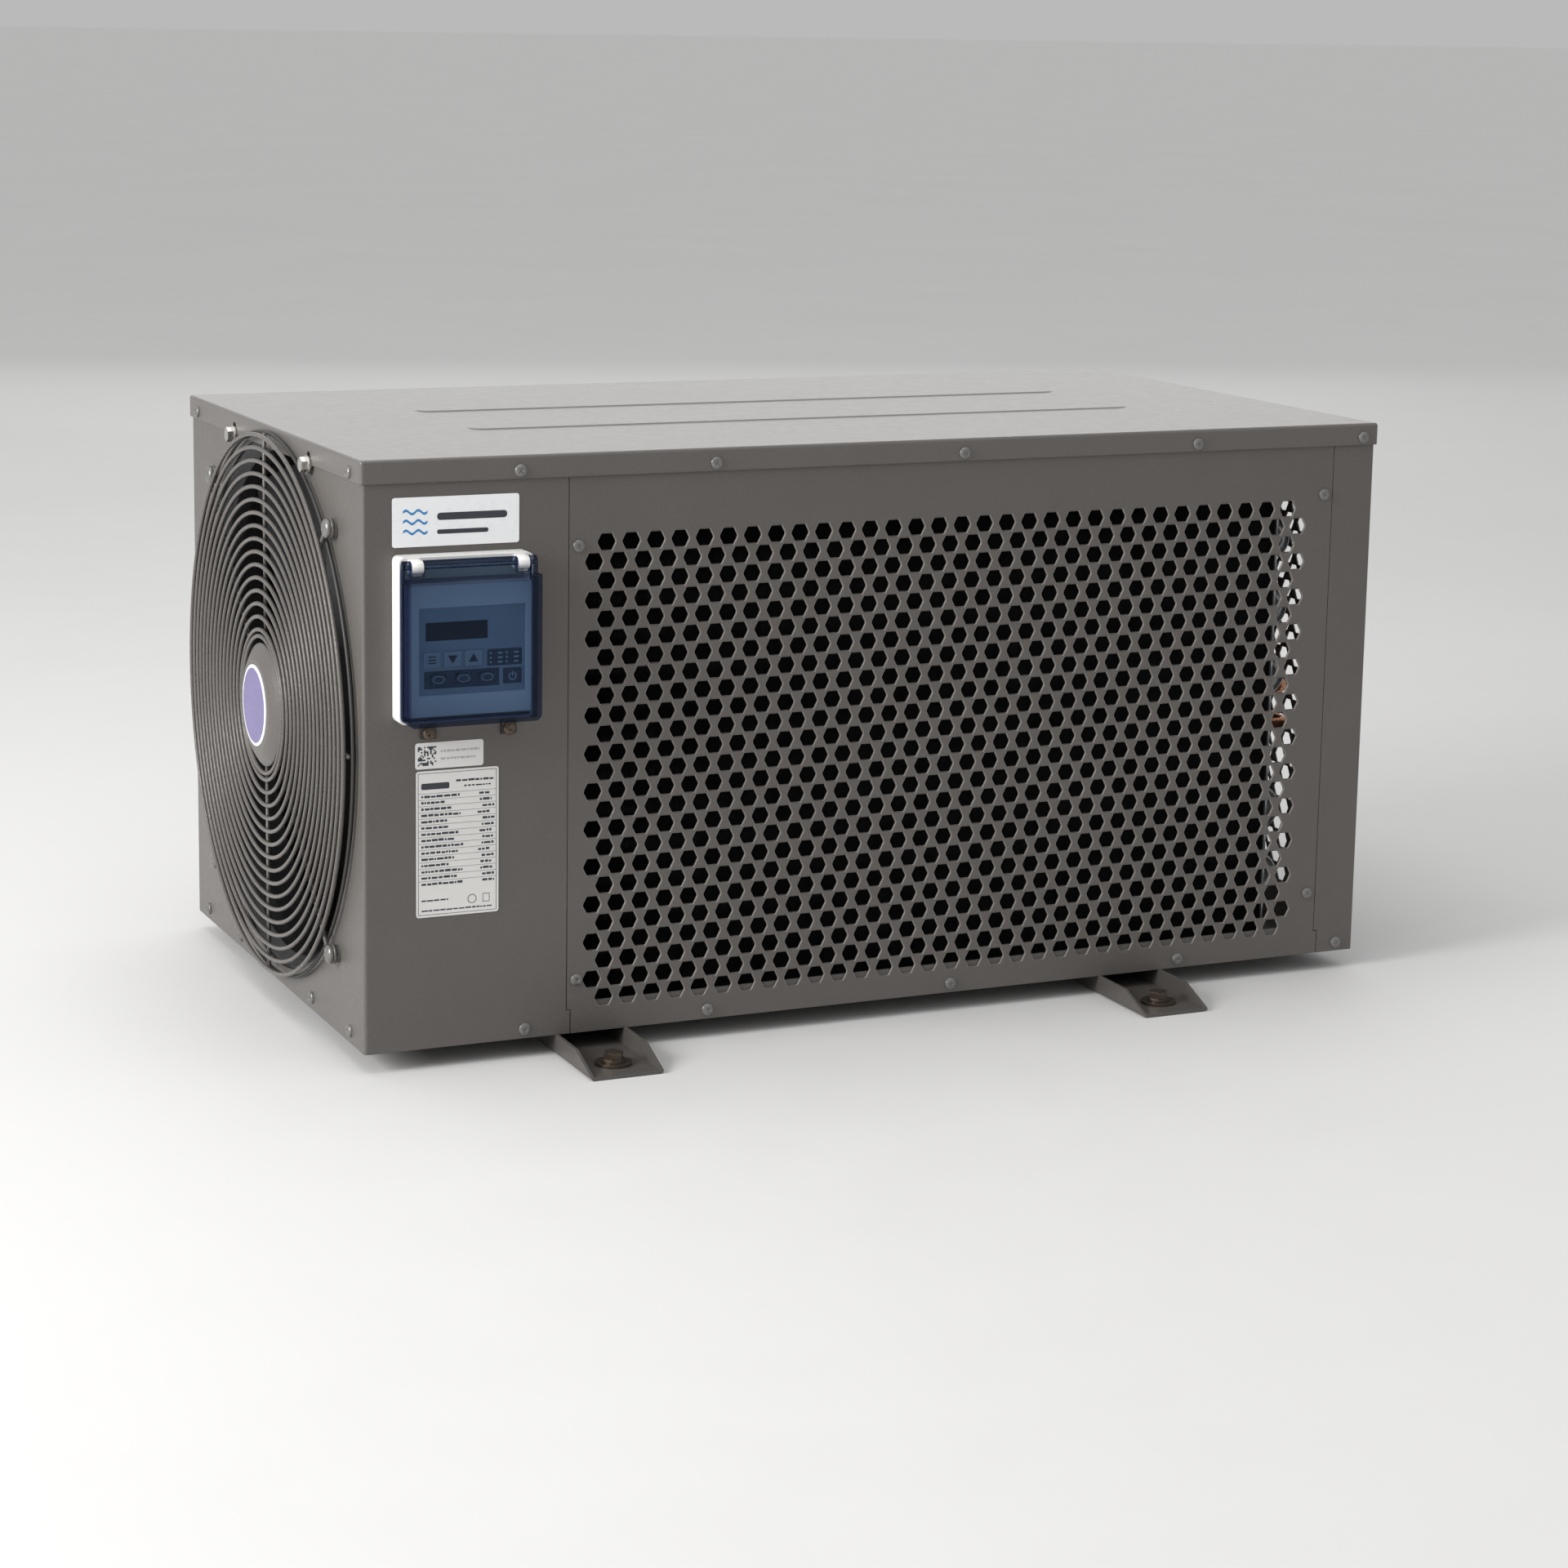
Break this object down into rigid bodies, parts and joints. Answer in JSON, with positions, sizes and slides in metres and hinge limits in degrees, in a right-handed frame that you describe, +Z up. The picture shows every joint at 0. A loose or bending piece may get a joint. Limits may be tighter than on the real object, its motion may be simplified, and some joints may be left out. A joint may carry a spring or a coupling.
{
  "type": "pool heat pump",
  "caption": "Low wide pool and spa heat pump: perforated front, fan guard on one end, flip-cover control box, channel feet.",
  "frame": {"origin": "middle of the footprint, at the level of the ground", "axes": "+Z up; the long perforated front faces -Y; the fan blows out at -X; the water unions are at +Y"},
  "size_m": [0.864, 0.592, 0.4419],
  "materials": {
    "case_paint": "fine textured powder coat, dark warm grey",
    "rail_paint": "textured powder coat",
    "galvanised": "galvanised sheet",
    "zinc": "zinc plated fasteners",
    "screw_paint": "painted screw heads",
    "guard_wire": "textured powder coat on wire",
    "black_plastic": "moulded, fine grain",
    "badge": "domed sticker",
    "white_plastic": "moulded, satin",
    "cover_smoke": "smoked blue clear plastic",
    "face_plastic": "moulded, satin",
    "display": "display window",
    "key_plastic": "small moulded key",
    "label": "printed sticker",
    "fins": "thin fin stock",
    "copper": "copper tube",
    "steel": "turned steel",
    "black_paint": "black enamel",
    "rubber": "moulded rubber",
    "vessel": "moulded shell",
    "pvc": "moulded fitting",
    "board": "circuit board and its parts"
  },
  "bodies": {
    "cabinet": {"foot_rail_left": "rail_paint", "foot_rail_right": "rail_paint", "foot_bolts": "zinc", "foot_washers": "zinc", "base_pan": "rail_paint", "drain_spigot": "black_plastic", "lid": "case_paint", "left_side_panel": "case_paint", "front_grille": "case_paint", "right_side_panel": "case_paint", "rear_panel": "case_paint", "service_cover": "case_paint", "partition": "galvanised", "evaporator_fins": "fins", "evaporator_ends": "galvanised", "fan_shroud": "black_paint", "motor_bracket": "black_paint", "bracket_bolts": "zinc", "fan_motor": "black_paint", "fan_guard": "guard_wire", "guard_cap": "case_paint", "guard_badge": "badge", "guard_bolts": "screw_paint", "lid_screws": "screw_paint", "front_screws": "screw_paint", "side_screws": "screw_paint", "rear_screws": "screw_paint", "control_box_base": "white_plastic", "box_screws": "zinc", "cover_hinge_pin": "steel", "controller_body": "face_plastic", "controller_display": "display", "name_plate": "label", "serial_label": "label", "rating_label": "label", "compressor": "black_paint", "compressor_grommets": "rubber", "compressor_bolts": "zinc", "accumulator": "black_paint", "heat_exchanger": "vessel", "union_sockets": "pvc", "cable_glands": "black_plastic", "refrigerant_fittings": "copper", "refrigerant_pipes": "copper", "electrical_tray": "galvanised", "electrical_parts": "board"},
    "fan_rotor": {"fan_shaft": "steel", "fan_hub": "black_plastic", "fan_blades": "black_plastic"},
    "control_cover": {"control_box_cover": "cover_smoke"},
    "inlet_nut": {"union_nut_inlet": "black_plastic"},
    "outlet_nut": {"union_nut_outlet": "black_plastic"},
    "key_mode_cap": {"key_mode": "key_plastic"},
    "key_down_cap": {"key_down": "key_plastic"},
    "key_up_cap": {"key_up": "key_plastic"},
    "key_first_option_cap": {"key_first_option": "key_plastic"},
    "key_second_option_cap": {"key_second_option": "key_plastic"},
    "key_third_option_cap": {"key_third_option": "key_plastic"},
    "key_power_cap": {"key_power": "key_plastic"}
  },
  "joints": [
    {"name": "fan_spin", "type": "hinge", "parent": "cabinet", "child": "fan_rotor", "pos_m": [-0.3, -0.006, 0.23], "axis": [-1, 0, 0], "continuous": true},
    {"name": "cover_lift", "type": "hinge", "parent": "cabinet", "child": "control_cover", "pos_m": [-0.344, -0.246, 0.368], "axis": [-1, 0, 0], "range_deg": [0, 110]},
    {"name": "inlet_nut_turn", "type": "hinge", "parent": "cabinet", "child": "inlet_nut", "pos_m": [0.06, 0.245, 0.105], "axis": [0, 1, 0], "continuous": true},
    {"name": "outlet_nut_turn", "type": "hinge", "parent": "cabinet", "child": "outlet_nut", "pos_m": [0.06, 0.245, 0.315], "axis": [0, 1, 0], "continuous": true},
    {"name": "key_mode_press", "type": "slide", "parent": "cabinet", "child": "key_mode_cap", "axis": [0, 1, 0], "range_m": [0, 0.0008], "stiffness_N_per_m": 600, "springref_m": -0.0004},
    {"name": "key_down_press", "type": "slide", "parent": "cabinet", "child": "key_down_cap", "axis": [0, 1, 0], "range_m": [0, 0.0008], "stiffness_N_per_m": 600, "springref_m": -0.0004},
    {"name": "key_up_press", "type": "slide", "parent": "cabinet", "child": "key_up_cap", "axis": [0, 1, 0], "range_m": [0, 0.0008], "stiffness_N_per_m": 600, "springref_m": -0.0004},
    {"name": "key_first_option_press", "type": "slide", "parent": "cabinet", "child": "key_first_option_cap", "axis": [0, 1, 0], "range_m": [0, 0.0008], "stiffness_N_per_m": 600, "springref_m": -0.0004},
    {"name": "key_second_option_press", "type": "slide", "parent": "cabinet", "child": "key_second_option_cap", "axis": [0, 1, 0], "range_m": [0, 0.0008], "stiffness_N_per_m": 600, "springref_m": -0.0004},
    {"name": "key_third_option_press", "type": "slide", "parent": "cabinet", "child": "key_third_option_cap", "axis": [0, 1, 0], "range_m": [0, 0.0008], "stiffness_N_per_m": 600, "springref_m": -0.0004},
    {"name": "key_power_press", "type": "slide", "parent": "cabinet", "child": "key_power_cap", "axis": [0, 1, 0], "range_m": [0, 0.0008], "stiffness_N_per_m": 600, "springref_m": -0.0004}
  ]
}
